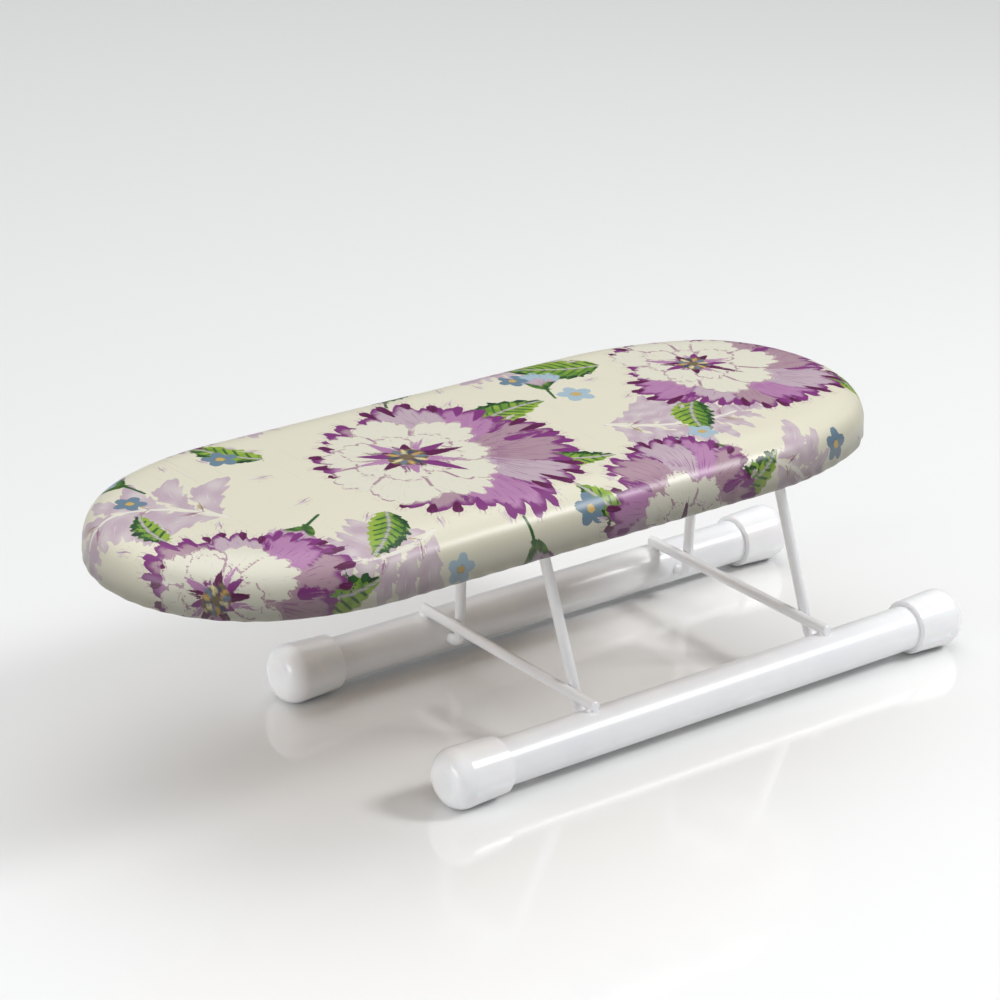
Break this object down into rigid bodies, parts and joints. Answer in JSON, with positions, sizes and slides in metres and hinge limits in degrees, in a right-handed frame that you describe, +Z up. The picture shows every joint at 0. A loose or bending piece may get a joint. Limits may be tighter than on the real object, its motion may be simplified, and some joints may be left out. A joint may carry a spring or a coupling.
{
  "type": "sleeve ironing board",
  "caption": "Tabletop sleeve ironing board: padded, cloth-covered board on folding wire legs hinged in a capped steel tube base.",
  "frame": {"origin": "on the table, under the middle of the whole object's length and width", "axes": "+Z up from the table, square to the ironing surface; +X along the board from its free nose to its heel; +Y across it, to the right of someone facing the nose"},
  "size_m": [0.516, 0.1763, 0.16],
  "materials": {
    "white_steel": "gloss white powder coat",
    "white_plastic": "smooth gloss moulding",
    "zinc_screw": "bright zinc plate",
    "fibreboard": "bare medium-density fibreboard",
    "foam": "open foam and felt",
    "cotton": "satin cotton with a large floral print",
    "elastic": "woven elastic tape"
  },
  "bodies": {
    "base": {"base_tube_left": "white_steel", "base_tube_right": "white_steel", "cross_rod_front": "white_steel", "cross_rod_rear": "white_steel", "rod_welds_front": "white_steel", "rod_welds_rear": "white_steel", "end_cap_front_left": "white_plastic", "end_cap_front_right": "white_plastic", "end_cap_rear_left": "white_plastic", "end_cap_rear_right": "white_plastic"},
    "rear_leg": {"wire_leg_rear": "white_steel"},
    "front_leg": {"wire_leg_front": "white_steel"},
    "board": {"board_panel": "fibreboard", "foam_pad": "foam", "cover": "cotton", "hem_elastic": "elastic", "saddle_clip_front_left": "white_steel", "saddle_clip_front_right": "white_steel", "saddle_clip_rear_left": "white_steel", "saddle_clip_rear_right": "white_steel", "saddle_screws_front": "zinc_screw", "saddle_screws_rear": "zinc_screw"}
  },
  "joints": [
    {"name": "rear_leg_fold", "type": "hinge", "parent": "base", "child": "rear_leg", "pos_m": [0.16872, 0, 0.0164], "axis": [0, 1, 0], "range_deg": [0, 91.69]},
    {"name": "front_leg_fold", "type": "hinge", "parent": "base", "child": "front_leg", "pos_m": [0.00172, 0, 0.0164], "axis": [0, 1, 0], "range_deg": [0, 91.69]},
    {"name": "board_swing", "type": "hinge", "parent": "rear_leg", "child": "board", "pos_m": [0.14736, 0, 0.13165], "axis": [0, 1, 0], "range_deg": [-91.69, 0]}
  ],
  "couplings": [
    {"joint": "front_leg_fold", "follows": "rear_leg_fold", "ratio": 1},
    {"joint": "board_swing", "follows": "rear_leg_fold", "ratio": -1}
  ]
}
